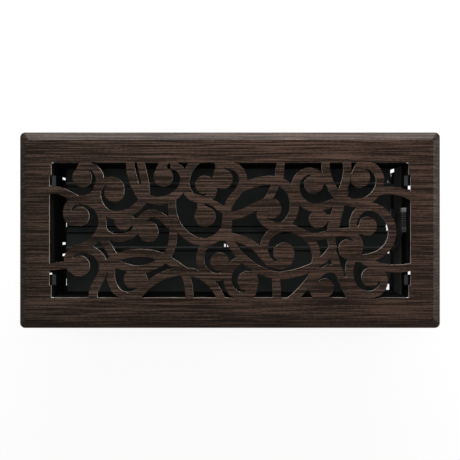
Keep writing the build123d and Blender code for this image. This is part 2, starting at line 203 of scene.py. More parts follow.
def brushedBronze():
    # Grain is streaks mixed with bands, then with fine streaks, then with speckle.  It picks the tone,
    # the roughness and the bump.  The rim is mixed towards brown, and clouds and a tint along X
    # multiply the colour.
    material, tree = newMaterial("brushedBronze")
    coords = objectPlace(tree)
    axes = axesOf(tree, coords)
    layers = {}
    for layer in ("streaks", "bands", "fineStreaks", "speckle", "clouds"):
        layers[layer] = stretchedNoise(tree, coords, *bronze[layer], bronze["shift"])
    grain = mixed(tree, bronze["bandShare"], layers["streaks"], layers["bands"])
    grain = mixed(tree, bronze["fineShare"], grain, layers["fineStreaks"])
    grain = mixed(tree, bronze["speckleShare"], grain, layers["speckle"])
    colour = ramp(tree, grain, bronze["toneStops"], (bronze["dark"], bronze["brown"], bronze["light"]))
    onRim = remapped(tree, axes["Z"], *bronze["rimLevels"], bronze["rimCalm"], 0.0)
    colour = mixed(tree, onRim, colour, (*bronze["brown"], 1.0))
    shade = remapped(tree, layers["clouds"], *noiseRange, *bronze["cloudShade"])
    colour = mixed(tree, 1.0, colour, shade, "MULTIPLY")
    along = remapped(tree, axes["X"], *bronze["drift"], 0.0, 1.0)
    tint = ramp(tree, along, bronze["driftStops"], bronze["driftTints"])
    colour = mixed(tree, 1.0, colour, tint, "MULTIPLY")
    roughness = remapped(tree, grain, *bronze["grainRange"], *bronze["roughness"])
    normal = bumpFrom(tree, grain, *bronze["bump"])
    surfaceOf(tree, colour, roughness, normal, Specular_IOR_Level=bronze["specular"])
    return material


# Sheared edge: bare steel with a little of the finish carried over it
shearedEdge = {
    "stain": (0.25, 0.212, 0.185),
    "steel": (0.46, 0.415, 0.365),
    "toneStops": (0.35, 0.62),
    "grain": ((220.0, 220.0, 1400.0), (3.0, 0.6)),
    "roughness": (0.70, 0.50),
    "bump": (0.25, 0.0001),
    "specular": 0.2,
}


def shearedSteel():
    # one grain gives the tone from stain to steel, the roughness and the bump
    material, tree = newMaterial("shearedSteel")
    grain = stretchedNoise(tree, objectPlace(tree), *shearedEdge["grain"])
    colour = ramp(tree, grain, shearedEdge["toneStops"], (shearedEdge["stain"], shearedEdge["steel"]))
    roughness = remapped(tree, grain, *noiseRange, *shearedEdge["roughness"])
    normal = bumpFrom(tree, grain, *shearedEdge["bump"])
    surfaceOf(tree, colour, roughness, normal, Specular_IOR_Level=shearedEdge["specular"])
    return material


# Stoved black paint on sheet: a fine pebble and faint drifts of tone.  A band is a stretch along one
# axis with its own tone.  Past the shell's half sizes and under the flanges the paint is the outside
# coat, which is glossier; within the shell the box's near-black tone is painted shade for its dark inside.
paintFilm = {
    "drift": ((22.0, 22.0, 22.0), (4.0, 0.55)),
    "pebbleNoise": (2.0, 0.5),
    "toneStops": (0.34, 0.66),
    "glossDrift": 0.07,
    "coatShades": (0.7, 1.3),
    "bump": (0.16, 0.00010),
    "bandBlur": 0.0001,
    "flangeBlur": 0.0004,
}
paints = {
    "box": {
        # painted shade: inside the shell and on the flange tops the box is painted near-black, far darker
        # than its outside coat
        "deep": (0.0032, 0.0035, 0.0033),
        "worn": (0.0066, 0.0070, 0.0067),
        "pebble": 1500.0,
        "roughness": 0.90,
        "specular": 0.01,
        "bands": [("Z", 0.0551, 0.0600, (0.032, 0.034, 0.035))],  # tabs in the opening
        "shell": (0.1236, 0.0465, 0.0535),  # half length, half width, level under the flanges
        "coat": (0.028, 0.030, 0.0293),
        "coatRoughness": 0.48,
    },
    "blade": {
        "deep": (0.028, 0.032, 0.0305),
        "worn": (0.048, 0.0545, 0.052),
        "pebble": 1300.0,
        "roughness": 0.60,
        "specular": 0.06,
        # painted shade: the blade below its face is painted near-black, for the shade under it and in its
        # creases
        "bands": [("Z", 0.0130, 0.0156, (0.0010, 0.0011, 0.0011))],  # underside
    },
    "lever": {
        "deep": (0.025, 0.027, 0.0264),
        "worn": (0.047, 0.051, 0.050),
        "pebble": 900.0,
        "roughness": 0.58,
        "specular": 0.10,
        "bands": [],
    },
}
# painted light: a lighter strip on the inside of the wall beside the lever, above the blades, where light
# falls on it
paintedLightBand = ("Z", 0.0168, 0.0405, (0.105, 0.113, 0.105))  # on the wall beside the lever
paints["leverWall"] = dict(paints["box"], bands=[*paints["box"]["bands"], paintedLightBand])
# Painted light on the blade beads: a painted highlight along each bead's rear flank and painted shade along
# its front flank, placed from each axle rod
paintedBeadLightAndShade = {
    "lit": (0.00095, 0.00185, (0.185, 0.195, 0.190)),  # off the axle along Y, from and to, and the tone
    "shaded": (-0.00175, -0.00095, (0.0030, 0.0032, 0.0031)),
}
for rod in ("rear_axle_rod", "front_axle_rod"):
    axle = sum(corner.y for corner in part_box(rod)) / 2
    for low, high, tone in paintedBeadLightAndShade.values():
        paints["blade"]["bands"].append(("Y", axle + low, axle + high, tone))


def bandAlong(tree, place, low, high):
    # one between two places on an axis: a rise times a fall, each over twice bandBlur
    blur = paintFilm["bandBlur"]
    rise = remapped(tree, place, low - blur, low + blur, 0.0, 1.0)
    fall = remapped(tree, place, high - blur, high + blur, 1.0, 0.0)
    return combined(tree, "MULTIPLY", rise, fall)


def pastHalf(tree, place, half):
    # one where the distance from the middle is past a half size
    away = addNode(tree, "ShaderNodeMath", operation="ABSOLUTE")
    tree.links.new(place, away.inputs[0])
    blur = paintFilm["bandBlur"]
    return remapped(tree, away.outputs[0], half - blur, half + blur, 0.0, 1.0)


def outsideShell(tree, axes, shell):
    # one past either half size, and below the flanges
    length, width, level = shell
    away = combined(tree, "MAXIMUM", pastHalf(tree, axes["X"], length), pastHalf(tree, axes["Y"], width))
    below = remapped(tree, axes["Z"], level - paintFilm["flangeBlur"], level, 1.0, 0.0)
    return combined(tree, "MULTIPLY", away, below)


def blackPaint(name, paint):
    # Drift picks the tone from deep to worn, each band lays its own tone over it, and the outside coat
    # goes over the bands.  Roughness follows the drift, or the coat where there is one.
    material, tree = newMaterial(name)
    coords = objectPlace(tree)
    axes = axesOf(tree, coords)
    drift = stretchedNoise(tree, coords, *paintFilm["drift"])
    pebble = stretchedNoise(tree, coords, (paint["pebble"],) * 3, paintFilm["pebbleNoise"])
    colour = ramp(tree, drift, paintFilm["toneStops"], (paint["deep"], paint["worn"]))
    for axis, low, high, tone in paint["bands"]:
        colour = mixed(tree, bandAlong(tree, axes[axis], low, high), colour, (*tone, 1.0))
    if "shell" in paint:
        outside = outsideShell(tree, axes, paint["shell"])
        coats = [[shade * part for part in paint["coat"]] for shade in paintFilm["coatShades"]]
        colour = mixed(tree, outside, colour, ramp(tree, drift, paintFilm["toneStops"], coats))
        rough = remapped(tree, outside, 0.0, 1.0, paint["roughness"], paint["coatRoughness"])
    else:
        spread = paintFilm["glossDrift"]
        rough = remapped(tree, drift, *noiseRange, paint["roughness"] - spread, paint["roughness"] + spread)
    normal = bumpFrom(tree, pebble, *paintFilm["bump"])
    surfaceOf(tree, colour, rough, normal, Specular_IOR_Level=paint["specular"])
    return material


# Drawn and cast small parts: a grain from dull to bright
metalGrain = {
    "noise": (4.0, 0.6),
    "toneStops": (0.34, 0.64),
    "rougher": 0.12,
    "smoother": 0.06,
    "bump": (0.2, 0.00008),
}
metals = {
    "drawnWire": {
        "dull": (0.16, 0.16, 0.155),
        "bright": (0.32, 0.32, 0.31),
        "scale": (40.0, 900.0, 900.0),
        "roughness": 0.40,
        "metallic": 0.9,
        "specular": 0.5,
    },
    "castGrip": {
        "dull": (0.014, 0.0145, 0.014),
        "bright": (0.030, 0.0307, 0.030),
        "scale": (700.0, 700.0, 700.0),
        "roughness": 0.60,
        "metallic": 0.0,
        "specular": 0.10,
    },
    "lighterEndGrip": {
        "dull": (0.09, 0.092, 0.091),
        "bright": (0.16, 0.162, 0.16),
        "scale": (700.0, 700.0, 700.0),
        "roughness": 0.50,
        "metallic": 0.0,
        "specular": 0.15,
    },
}


def smallMetal(name):
    # one grain gives the tone from dull to bright, the roughness and the bump
    metal = metals[name]
    material, tree = newMaterial(name)
    grain = stretchedNoise(tree, objectPlace(tree), metal["scale"], metalGrain["noise"])
    colour = ramp(tree, grain, metalGrain["toneStops"], (metal["dull"], metal["bright"]))
    dullest = metal["roughness"] + metalGrain["rougher"]
    brightest = metal["roughness"] - metalGrain["smoother"]
    rough = remapped(tree, grain, *noiseRange, dullest, brightest)
    normal = bumpFrom(tree, grain, *metalGrain["bump"])
    surfaceOf(tree, colour, rough, normal, Metallic=metal["metallic"], Specular_IOR_Level=metal["specular"])
    return material


finishes = {
    "bronze": brushedBronze(),
    "edge": shearedSteel(),
    "box": blackPaint("boxPaint", paints["box"]),
    "leverWall": blackPaint("leverWallPaint", paints["leverWall"]),
    "blade": blackPaint("bladePaint", paints["blade"]),
    "rod": smallMetal("drawnWire"),
    "lever": blackPaint("leverPaint", paints["lever"]),
    "grip": smallMetal("castGrip"),
    "gripEnd": smallMetal("lighterEndGrip"),
}
print("stage: finishes made,", len(finishes))


# Scroll faceplate: the CAD plate's own outlines, drawn smooth, with a die-rolled edge round every hole
plate = {
    "sheet": 0.0020,
    "bevelWidth": 0.0057,
    "bevelHeight": 0.0035,
    "lip": 0.0010,
    "rimRadius": 0.0035,
    "faceRadius": 0.0012,
    "underRound": 0.5,
    "dieRoll": 0.00030,
    "burr": 0.00010,
    "creaseRadius": 0.0008,
    "footRadius": 0.0004,
    "lipRadius": 0.0003,
    "roundSteps": 3,
    "facetSteps": 5,
    "longFacet": 0.0062,
    "shortFacet": 0.00012,
    "cleanRounds": 3,
    "jogLength": 0.00075,
    "jogTurn": 35.0,
    "crackTurn": 165.0,
    "cornerTurn": 52.0,
    "evenStep": 0.00045,
    "leastStretch": 0.00025,
    "mitreLimit": 0.6,
    "leastSlot": 0.0020,
    "leastMetal": 0.0014,
    "slotReach": 0.0028,
    "narrowFrom": 0.72,
    "narrowFade": 0.2,
    "pushBlur": 3,
    "farRoom": 0.0030,
    "chunkPoints": 250,
    "roomShare": 0.40,
    "cornerShare": 0.8,
    "bendLimits": (0.01, 178.0),
    "leastReach": 4,
    "shareBlur": 2,
    "arcSteps": 8,
    "longSideSteps": 30,
    "shortSideSteps": 14,
    "fillTouch": 1e-9,
    "flatWeight": 100,
}


def mergedTriangles(mesh):
    # loose triangles, with the points that share a place to a millionth of a metre made one
    mesh.calc_loop_triangles()
    points = np.empty(len(mesh.vertices) * 3, np.float32)
    mesh.vertices.foreach_get("co", points)
    corners = np.empty(len(mesh.loop_triangles) * 3, np.int32)
    mesh.loop_triangles.foreach_get("vertices", corners)
    places, same = np.unique(np.round(points.reshape(-1, 3), 6), axis=0, return_inverse=True)
    return places, same.ravel()[corners].reshape(-1, 3)


def boundaryEdges(triangles):
    # directed edges that no neighbour runs along the other way
    edges = np.concatenate([triangles[:, pair] for pair in ([0, 1], [1, 2], [2, 0])]).astype(np.int64)
    count = edges.max() + 1
    return edges[~np.isin(edges[:, 0] * count + edges[:, 1], edges[:, 1] * count + edges[:, 0])]


def chainedLoops(edges):
    # Puts directed edges in order round their loops.  Each point looks ahead along its loop and doubles
    # its reach every time: first to learn its loop's least index, then how many steps are left to the
    # loop's end.
    names, flat = np.unique(edges, return_inverse=True)
    flat = flat.reshape(edges.shape)
    ahead = np.empty(len(names), np.int64)
    ahead[flat[:, 0]] = flat[:, 1]
    rounds = int(np.ceil(np.log2(len(names)))) + 1
    label = np.arange(len(names))
    reach = ahead.copy()
    for _ in range(rounds):
        label = np.minimum(label, label[reach])
        reach = reach[reach]
    last = ahead == label
    left = np.where(last, 0, 1)
    reach = np.where(last, np.arange(len(names)), ahead)
    for _ in range(rounds):
        left = left + left[reach]
        reach = reach[reach]
    order = np.lexsort((-left, label))
    starts = np.flatnonzero(np.diff(label[order], prepend=-1))
    return np.split(names[order], starts[1:])


def unitOf(vectors):
    # each vector over its own length
    return vectors / np.maximum(np.linalg.norm(vectors, axis=1, keepdims=True), tiny)


def signedTurns(points):
    # each edge's length, and the angle in degrees by which the outline turns at its first point
    step = np.roll(points, -1, axis=0) - points
    heading = np.degrees(np.arctan2(step[:, 1], step[:, 0]))
    return np.linalg.norm(step, axis=1), (heading - np.roll(heading, 1) + 180.0) % 360.0 - 180.0


def alongLoop(pick, values, reach):
    # each point's mean or least value among the points up to reach steps away on its loop
    return pick([np.roll(values, k) for k in range(-reach, reach + 1)], axis=0)


def edgesOf(loops):
    # the first and the last point of every edge, loop after loop
    return np.concatenate(loops), np.concatenate([np.roll(loop, -1, axis=0) for loop in loops])


def byLoop(values, loops):
    # the values of all the points, cut into one array for each loop
    return np.split(values, np.cumsum([len(loop) for loop in loops])[:-1])


def cleanLoop(points):
    # Takes out what is too small to cut: a jog, where a short edge turns one way and then back, becomes
    # its own middle, and the tip of a hair crack, where the outline doubles back on itself, is dropped.
    for _ in range(plate["cleanRounds"]):
        step = np.roll(points, -1, axis=0) - points
        length, turn = signedTurns(points)
        onward = np.roll(turn, -1)
        jog = (length < plate["jogLength"]) & (turn * onward < 0)
        jog &= np.minimum(np.abs(turn), np.abs(onward)) > plate["jogTurn"]
        jog &= ~np.roll(jog, 1)
        crack = np.abs(turn) > plate["crackTurn"]
        points = np.where(jog[:, None], points + step / 2, points)[~np.roll(jog, 1) & ~crack]
    return points


def smoothLoop(points):
    # A cubic through each facet's two ends.  At a smooth point its slope is the mean of the two facets'
    # directions, the shorter one counting more; at a sharp corner each facet keeps its own direction,
    # and a long straight facet always does.
    points = points[np.linalg.norm(np.roll(points, -1, axis=0) - points, axis=1) > plate["shortFacet"]]
    step = np.roll(points, -1, axis=0) - points
    length = np.linalg.norm(step, axis=1)
    out = unitOf(step)
    into = np.roll(out, 1, axis=0)
    lengthInto = np.roll(length, 1)
    turn = np.degrees(np.arccos(np.clip(np.sum(out * into, axis=1), -1, 1)))
    straightOut = length > plate["longFacet"]
    straightInto = np.roll(straightOut, 1)
    sharp = (turn > plate["cornerTurn"]) | (straightOut & straightInto)
    mean = unitOf(into * length[:, None] + out * lengthInto[:, None])
    mean = np.where(straightOut[:, None], out, np.where(straightInto[:, None], into, mean))
    leave = np.where(sharp[:, None], out, mean)
    arrive = np.roll(np.where(sharp[:, None], into, mean), -1, axis=0)
    t = (np.arange(plate["facetSteps"]) / plate["facetSteps"])[None, :, None]
    start, end = points[:, None, :], np.roll(points, -1, axis=0)[:, None, :]
    pull = length[:, None, None]
    curve = (2 * t**3 - 3 * t**2 + 1) * start + (t**3 - 2 * t**2 + t) * pull * leave[:, None, :]
    curve = curve + (3 * t**2 - 2 * t**3) * end + (t**3 - t**2) * pull * arrive[:, None, :]
    return curve.reshape(-1, 2)


def evenLoop(points):
    # The same outline in even steps: each stretch from one sharp corner to the next is cut into equal
    # lengths of at most evenStep, and a corner that follows another too closely is left out.
    turn = signedTurns(points)[1]
    points = np.roll(points, -int(np.argmax(np.abs(turn))), axis=0)
    length, turn = signedTurns(points)
    along = np.concatenate([[0.0], np.cumsum(length)])
    corner = np.abs(turn) > plate["cornerTurn"]
    corner[0] = True
    places = along[:-1][corner]
    places = places[np.diff(places, prepend=-1.0) > plate["leastStretch"]]
    places = places[along[-1] - places > plate["leastStretch"]]
    knots = np.append(places, along[-1])
    counts = np.ceil(np.diff(knots) / plate["evenStep"]).astype(int)
    stretches = zip(knots, knots[1:], counts)
    target = np.concatenate([np.linspace(a, b, count, endpoint=False) for a, b, count in stretches])
    closed = np.concatenate([points, points[:1]])
    return np.stack([np.interp(target, along, part) for part in closed.T], axis=1)


def insetDirections(points):
    # at each point, the way into the metal: the mean of the two edges' left normals, mitred
    edge = unitOf(np.roll(points, -1, axis=0) - points)
    normal = np.stack([-edge[:, 1], edge[:, 0]], axis=1)
    mean = unitOf(normal + np.roll(normal, 1, axis=0))
    reach = np.maximum(np.sum(mean * normal, axis=1, keepdims=True), plate["mitreLimit"])
    return mean / reach


def metalRoom(points, ways, starts, ends):
    # How far a line from each point runs along its way before it meets an outline again.  Line and edge
    # cross where both cross products with the gap between their starts are in step, up to farRoom away.
    far = plate["farRoom"]
    room = np.full(len(points), far)
    order = np.argsort(points[:, 0])
    for chunk in np.array_split(order, len(order) // plate["chunkPoints"] + 1):
        place, way = points[chunk][:, None, :], ways[chunk][:, None, :]
        near = np.maximum(starts[:, 0], ends[:, 0]) > place[:, :, 0].min() - far
        near &= np.minimum(starts[:, 0], ends[:, 0]) < place[:, :, 0].max() + far
        edge = (ends - starts)[near][None]
        gap = starts[near][None] - place
        turn = way[..., 0] * edge[..., 1] - way[..., 1] * edge[..., 0]
        turn = np.where(np.abs(turn) < tiny, tiny, turn)
        along = (gap[..., 0] * edge[..., 1] - gap[..., 1] * edge[..., 0]) / turn
        share = (gap[..., 0] * way[..., 1] - gap[..., 1] * way[..., 0]) / turn
        hit = (share >= 0) & (share <= 1) & (along > samePlace)
        room[chunk] = np.where(hit, along, far).min(axis=1)
    return np.minimum(room, far)


def openedSlots(holes):
    # Opens a slot that is too fine for a punch: where a hole stays narrower than leastSlot along
    # slotReach each way, both its sides move out by half of what is missing, as far as leastMetal
    # leaves the metal beside it.
    ways = [unitOf(insetDirections(hole)) for hole in holes]
    starts, ends = edgesOf(holes)
    across = byLoop(metalRoom(starts, -np.concatenate(ways), starts, ends), holes)
    beside = byLoop(metalRoom(starts, np.concatenate(ways), starts, ends), holes)
    opened = []
    for hole, way, width, metal in zip(holes, ways, across, beside):
        reach = int(np.ceil(plate["slotReach"] / plate["evenStep"]))
        reach = min(reach, len(hole) // 4)  # both ways together, half of a small hole at most
        narrow = alongLoop(np.mean, width < plate["leastSlot"], reach)
        weight = np.clip((narrow - plate["narrowFrom"]) / plate["narrowFade"], 0, 1)
        limit = np.clip((metal - plate["leastMetal"]) / 2, 0, None)
        limit = alongLoop(np.min, limit, plate["leastReach"])
        push = np.minimum(np.clip((plate["leastSlot"] - width) / 2, 0, None) * weight, limit)
        push = alongLoop(np.mean, push, plate["pushBlur"])
        opened.append(hole + way * push[:, None])
    return opened


def rollShares(holes, ways):
    # The share of the die roll that each point has room for: none at a metal tip, all along a wide
    # vine.  A metal corner that turns by an angle eats its edges by the roll times the tangent of half
    # the angle.  Each point takes the least share of its near neighbours, and the result is then
    # averaged along the loop.
    starts, ends = edgesOf(holes)
    room = byLoop(metalRoom(starts, unitOf(np.concatenate(ways)), starts, ends), holes)
    shares = []
    for hole, part in zip(holes, room):
        length, turn = signedTurns(hole)
        bend = np.tan(np.radians(np.clip(turn, *plate["bendLimits"])) / 2)
        spare = plate["cornerShare"] * np.minimum(length, np.roll(length, 1)) / bend
        share = np.minimum(np.minimum(plate["roomShare"] * part, spare) / plate["dieRoll"], 1.0)
        share = alongLoop(np.min, share, plate["leastReach"])
        shares.append(alongLoop(np.mean, share, plate["shareBlur"]))
    return shares


def holeRings(loop, ways, share, top, bottom):
    # The hole's wall: a quarter round of radius dieRoll from the face to the wall, straight down, and a
    # small quarter round at the foot.  Ring k is the loop moved into the metal by radius times one less
    # sine k, and at the foot by burr times one less cosine k.
    swing = np.linspace(0, np.pi / 2, plate["roundSteps"] + 1)
    inset = np.concatenate([plate["dieRoll"] * (1 - np.sin(swing)), plate["burr"] * (1 - np.cos(swing))])
    height = np.concatenate([top - plate["dieRoll"] * (1 - np.cos(swing)),
                             bottom + plate["burr"] * (1 - np.sin(swing))])
    flat = loop[None, :, :] + inset[:, None, None] * (ways * share[:, None])[None, :, :]
    level = np.broadcast_to(height[:, None, None], (len(inset), len(loop), 1))
    return np.concatenate([flat, level], axis=2)


def roundedRectangle(half, inset, radius):
    # Counter-clockwise points of one ring: a quarter circle turned into each of the four corners, with
    # the sides between them cut in even steps.
    swing = np.linspace(0, np.pi / 2, plate["arcSteps"] + 1)
    corner = np.stack([np.cos(swing), np.sin(swing)], axis=1) * radius
    centre = half - inset - radius
    quarterTurn = np.array([[0.0, -1.0], [1.0, 0.0]])
    signs = np.array([(1, 1), (-1, 1), (-1, -1), (1, -1)])
    arcs = []
    for turn, sign in enumerate(signs):
        arcs.append(corner @ np.linalg.matrix_power(quarterTurn, turn).T + centre * sign)
    pieces = []
    for turn, arc in enumerate(arcs):
        following = arcs[(turn + 1) % len(arcs)]
        steps = plate["longSideSteps"] if turn % 2 == 0 else plate["shortSideSteps"]
        share = (np.arange(1, steps) / steps)[:, None]
        pieces += [arc, arc[-1] * (1 - share) + following[0] * share]
    return np.concatenate(pieces)


def rimRings(half, top, bottom):
    # The rim's section, from the face outwards and down: a rounded crease, the bevel, a rounded foot,
    # the lip, its rounded edge, and back up the underside of the bevel.  Inset is the distance in from
    # the plate's edge.
    slope = np.arctan2(plate["bevelHeight"], plate["bevelWidth"])
    run = plate["bevelWidth"] / plate["bevelHeight"]
    foot = top - plate["bevelHeight"]
    low = foot - plate["lip"]
    creaseTurn = np.linspace(0, slope, plate["roundSteps"] + 1)
    creaseIn = plate["bevelWidth"] + plate["creaseRadius"] * (np.tan(slope / 2) - np.sin(creaseTurn))
    creaseZ = top - plate["creaseRadius"] * (1 - np.cos(creaseTurn))
    footTurn = np.linspace(slope, np.pi / 2, plate["roundSteps"] + 1)
    footDrop = plate["footRadius"] * np.tan((np.pi / 2 - slope) / 2)
    footIn = plate["footRadius"] * (1 - np.sin(footTurn))
    footZ = foot - footDrop + plate["footRadius"] * np.cos(footTurn)
    lipTurn = np.linspace(0, np.pi / 2, plate["roundSteps"] + 1)
    lipIn = plate["lipRadius"] * (1 - np.cos(lipTurn))
    lipZ = low + plate["lipRadius"] * (1 - np.sin(lipTurn))
    sheetRun = plate["sheet"] / np.sin(slope)
    underIn = np.array([sheetRun - plate["lip"] * run, sheetRun + (bottom - foot) * run])
    inset = np.concatenate([creaseIn, footIn, lipIn, underIn])
    height = np.concatenate([creaseZ, footZ, lipZ, [low, bottom]])
    share = np.clip(inset / plate["bevelWidth"], 0, 1)
    radius = plate["rimRadius"] + (plate["faceRadius"] - plate["rimRadius"]) * share
    radius[-2:] = plate["underRound"] * plate["rimRadius"], plate["underRound"] * plate["faceRadius"]
    rings = [roundedRectangle(half, i, r) for i, r in zip(inset, radius)]
    level = np.broadcast_to(height[:, None, None], (len(inset), len(rings[0]), 1))
    return np.concatenate([np.stack(rings), level], axis=2)


def wallQuads(first, rings, count):
    # quads between one ring and the next below it, facing away from the metal
    index = first + np.arange(rings * count).reshape(rings, count)
    onward = np.roll(index, -1, axis=1)
    return np.stack([index[:-1], index[1:], onward[1:], onward[:-1]], axis=2).reshape(-1, 4)


def insideLoop(places, loop):
    # a place is inside where a line from it along +X crosses the loop an odd number of times
    start, end = loop[None, :, :], np.roll(loop, -1, axis=0)[None, :, :]
    x, y = places[:, 0, None], places[:, 1, None]
    spans = (start[:, :, 1] > y) != (end[:, :, 1] > y)
    rise = np.where(spans, end[:, :, 1] - start[:, :, 1], 1.0)
    crossing = start[:, :, 0] + (y - start[:, :, 1]) / rise * (end[:, :, 0] - start[:, :, 0])
    return np.sum(spans & (x < crossing), axis=1) % 2 == 1


def filledSheet(loops, starts):
    # Triangles of the flat sheet between its outer loop and its holes, as indices of the whole mesh:
    # all the points are joined with the loops kept as edges, and what lies in a hole is left out.
    flat = np.concatenate(loops)
    owner = np.concatenate([start + np.arange(len(loop)) for loop, start in zip(loops, starts)])
    counts = np.array([len(loop) for loop in loops])
    base = np.concatenate([[0], np.cumsum(counts)[:-1]])
    edges = np.concatenate([np.stack([b + np.arange(n), b + (np.arange(n) + 1) % n], axis=1)
                            for b, n in zip(base, counts)])
    insideOnly = 1  # the kind of fill that keeps triangles inside the loops alone
    corners = [Vector(place) for place in flat]
    filled = delaunay_2d_cdt(corners, edges.tolist(), [], insideOnly, plate["fillTouch"])
    places, _, faces, sources = filled[:4]
    source = np.array([ids[0] if ids else -1 for ids in sources])
    if (source < 0).any():
        crossed = np.array([places[i] for i in np.flatnonzero(source < 0)])
        print("note: the sheet's outlines cross, in mm, at", np.round(crossed * 1000, 2).tolist())
    triangles = np.array(faces)
    triangles = source[triangles[np.all(source[triangles] >= 0, axis=1)]]
    corner = flat[triangles]
    area = np.cross(corner[:, 1] - corner[:, 0], corner[:, 2] - corner[:, 0])
    triangles[area < 0] = triangles[area < 0][:, ::-1]
    centre = flat[triangles].mean(axis=1)
    metal = ~np.any([insideLoop(centre, loop) for loop in loops[1:]], axis=0)
    return owner[triangles[metal]]


def makeFaceplate():
    # The rim's rings and every hole's rings as strips of quads, with a flat sheet between their first
    # rings for the face and one between their last rings for the underside.
    low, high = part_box("faceplate")
    half = np.array([high.x - low.x, high.y - low.y]) / 2
    top, bottom = high.z, high.z - plate["sheet"]
    places, triangles = mergedTriangles(nodes["faceplate"].data)
    onFace = np.all(places[triangles][:, :, 2] > top - samePlace, axis=1)
    loops = chainedLoops(boundaryEdges(triangles[onFace]))
    spans = np.array([np.ptp(places[loop][:, 0]) for loop in loops])
    outlines = [places[loop][:, :2] for loop, span in zip(loops, spans) if span < spans.max()]
    holes = openedSlots([evenLoop(smoothLoop(cleanLoop(outline))) for outline in outlines])
    ways = [insetDirections(hole) for hole in holes]
    shares = rollShares(holes, ways)
    strips = [rimRings(half, top, bottom)]
    strips += [holeRings(hole, way, share, top, bottom) for hole, way, share in zip(holes, ways, shares)]
    sizes = np.array([strip.shape[0] * strip.shape[1] for strip in strips])
    starts = np.concatenate([[0], np.cumsum(sizes)[:-1]])
    points = np.concatenate([strip.reshape(-1, 3) for strip in strips])
    quads = [wallQuads(start, strip.shape[0], strip.shape[1]) for start, strip in zip(starts, strips)]
    lastRings = [start + (strip.shape[0] - 1) * strip.shape[1] for start, strip in zip(starts, strips)]
    face = filledSheet([strip[0, :, :2] for strip in strips], starts)
    under = filledSheet([strip[-1, :, :2] for strip in strips], lastRings)[:, ::-1]
    # from ring roundSteps down, the cut and its foot are bare steel
    bare = [np.zeros(len(quads[0]), bool)]
    for strip in strips[1:]:
        level = np.repeat(np.arange(strip.shape[0] - 1), strip.shape[1])
        bare.append(level >= plate["roundSteps"])
    mesh = bpy.data.meshes.new("scrollFaceplate")
    allQuads = np.concatenate(quads)
    mesh.from_pydata(points.tolist(), [], allQuads.tolist() + face.tolist() + under.tolist())
    mesh.materials.append(finishes["bronze"])
    mesh.materials.append(finishes["edge"])
    kind = np.zeros(len(mesh.polygons), np.int32)
    kind[:len(allQuads)] = np.concatenate(bare)
    mesh.polygons.foreach_set("material_index", kind)
    mesh.polygons.foreach_set("use_smooth", np.ones(len(mesh.polygons), bool))
    mesh.validate()
    mesh.update()
    piece = bpy.data.objects.new("scrollFaceplate", mesh)
    scene.collection.objects.link(piece)
    weighted = piece.modifiers.new("faceNormals", "WEIGHTED_NORMAL")
    weighted.weight = plate["flatWeight"]
    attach(piece, "register")
    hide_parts("faceplate")
    print("stage: faceplate made,", len(holes), "holes,", len(mesh.polygons), "faces")


makeFaceplate()


# Ribbed thumb grip: one cast block over the lever's edge, two rows of rounded ribs between plain ends
grip = {
    "ribPitch": 0.00154,
    "grooves": 7,
    "grooveDepth": 0.0010,
    "pitchSteps": 12,
    "cornerRadius": 0.00035,
    "cornerSteps": 4,
    "topRadii": 2,
    "seamWidth": 0.0007,
    "seamDepth": 0.0005,
    "slotGap": 0.00002,
    "sharpAngle": 35.0,
}


